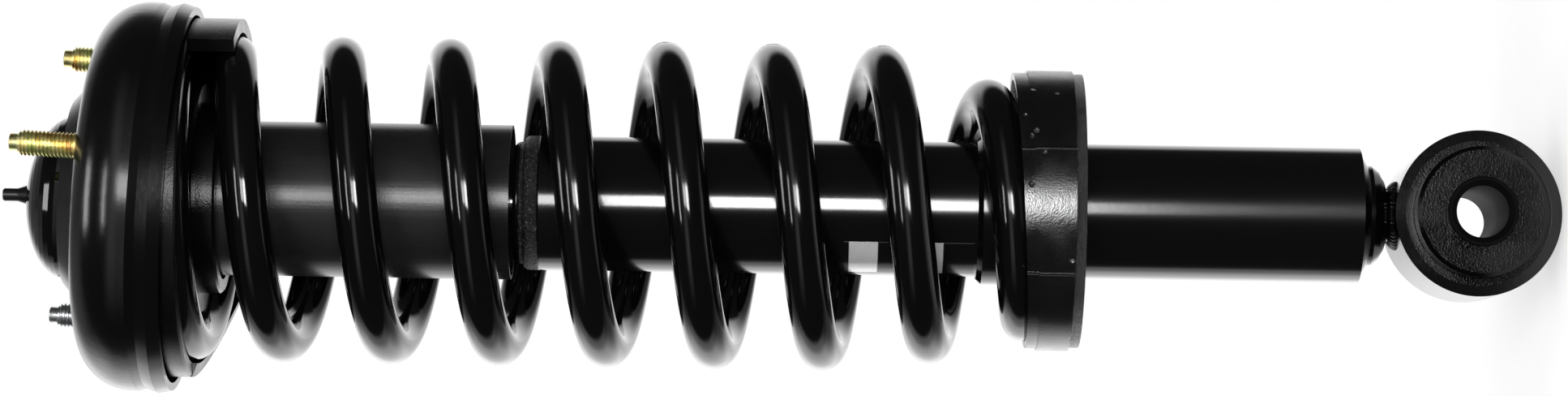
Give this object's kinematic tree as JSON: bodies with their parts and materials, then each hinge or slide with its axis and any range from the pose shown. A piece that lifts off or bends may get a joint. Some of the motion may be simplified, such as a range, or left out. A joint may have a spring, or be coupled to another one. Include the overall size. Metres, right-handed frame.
{
  "type": "coil-over strut assembly",
  "caption": "Coil-over strut: twin-tube damper inside a coil spring, studded bell-shaped upper mount, and a rubber-bushed lower eye.",
  "frame": {"origin": "centre of the lower eye's bore", "axes": "+Z along the damper's axis towards the chassis mount; Y along the lower eye's bore; the assembly is at full extension"},
  "size_m": [0.1537, 0.1536, 0.6106],
  "materials": {
    "black_coat": "gloss black electro-coat",
    "black_rubber": "satin moulded black",
    "tube_satin": "satin dark grey-black",
    "sleeve_black": "gloss black over steel",
    "zinc_yellow": "yellow zinc passivate",
    "zinc_silver": "clear zinc plate",
    "rod_chrome": "hard chrome, end blackened",
    "bare_steel": "bare",
    "spring_steel": "blued",
    "sintered_iron": "sintered",
    "bush_bronze": "plain",
    "seal_rubber": "moulded",
    "band_polymer": "filled PTFE",
    "bumper_foam": "cellular polyurethane",
    "label_film": "blank silver-white film"
  },
  "bodies": {
    "chassis_side": {"bumper_cup": "zinc_silver", "check_spring": "spring_steel", "check_stop_washer": "bare_steel", "coil_spring": "black_coat", "dust_tube": "tube_satin", "jounce_bumper": "bumper_foam", "mount_cup": "black_coat", "mount_dome": "black_coat", "mount_inner_sleeve": "zinc_silver", "mount_lower_washer": "zinc_silver", "mount_rubber": "black_rubber", "mount_stud_long": "zinc_yellow", "mount_stud_plain": "zinc_silver", "mount_stud_short": "zinc_yellow", "mount_top_washer": "zinc_silver", "piston": "sintered_iron", "piston_band": "band_polymer", "piston_nut": "bare_steel", "piston_rod": "rod_chrome", "rebound_bumper": "black_rubber", "rebound_stop_ring": "bare_steel", "rebound_valve_discs": "spring_steel", "rod_top_nut": "zinc_silver", "upper_mount_bell": "black_coat", "upper_spring_isolator": "black_rubber", "upper_spring_pan": "black_coat"},
    "damper_body": {"reserve_tube": "black_coat", "pressure_tube": "bare_steel", "body_top_cap": "black_coat", "body_base_cap": "black_coat", "eye_stem": "black_coat", "eye_weld": "black_coat", "eye_ring": "black_coat", "eye_rubber_bush": "black_rubber", "rod_guide": "sintered_iron", "rod_guide_bush": "bush_bronze", "rod_seal": "seal_rubber", "base_valve_body": "sintered_iron", "base_valve_spring": "spring_steel", "base_valve_discs": "spring_steel", "base_valve_pin": "bare_steel", "lower_spring_seat": "black_coat", "lower_spring_isolator": "black_rubber", "body_label": "label_film"},
    "eye_sleeve": {"eye_inner_sleeve": "sleeve_black"},
    "piston_check": {"piston_check_disc": "spring_steel"},
    "base_intake": {"base_intake_disc": "spring_steel"}
  },
  "joints": [
    {"name": "damper_stroke", "type": "slide", "parent": "chassis_side", "child": "damper_body", "axis": [0, 0, 1], "range_m": [0, 0.112], "stiffness_N_per_m": 78000, "springref_m": -0.01, "deforming": ["coil_spring", "jounce_bumper"]},
    {"name": "eye_bush_twist", "type": "hinge", "parent": "damper_body", "child": "eye_sleeve", "pos_m": [0, 0, 0], "axis": [0, 1, 0], "range_deg": [-15, 15], "stiffness_Nm_per_rad": 80},
    {"name": "piston_check_lift", "type": "slide", "parent": "chassis_side", "child": "piston_check", "axis": [0, 0, 1], "range_m": [0, 0.001], "stiffness_N_per_m": 1500, "springref_m": -0.0005, "deforming": ["check_spring"]},
    {"name": "base_intake_lift", "type": "slide", "parent": "damper_body", "child": "base_intake", "axis": [0, 0, 1], "range_m": [0, 0.001], "stiffness_N_per_m": 1500, "springref_m": -0.0005, "deforming": ["base_valve_spring"]}
  ]
}
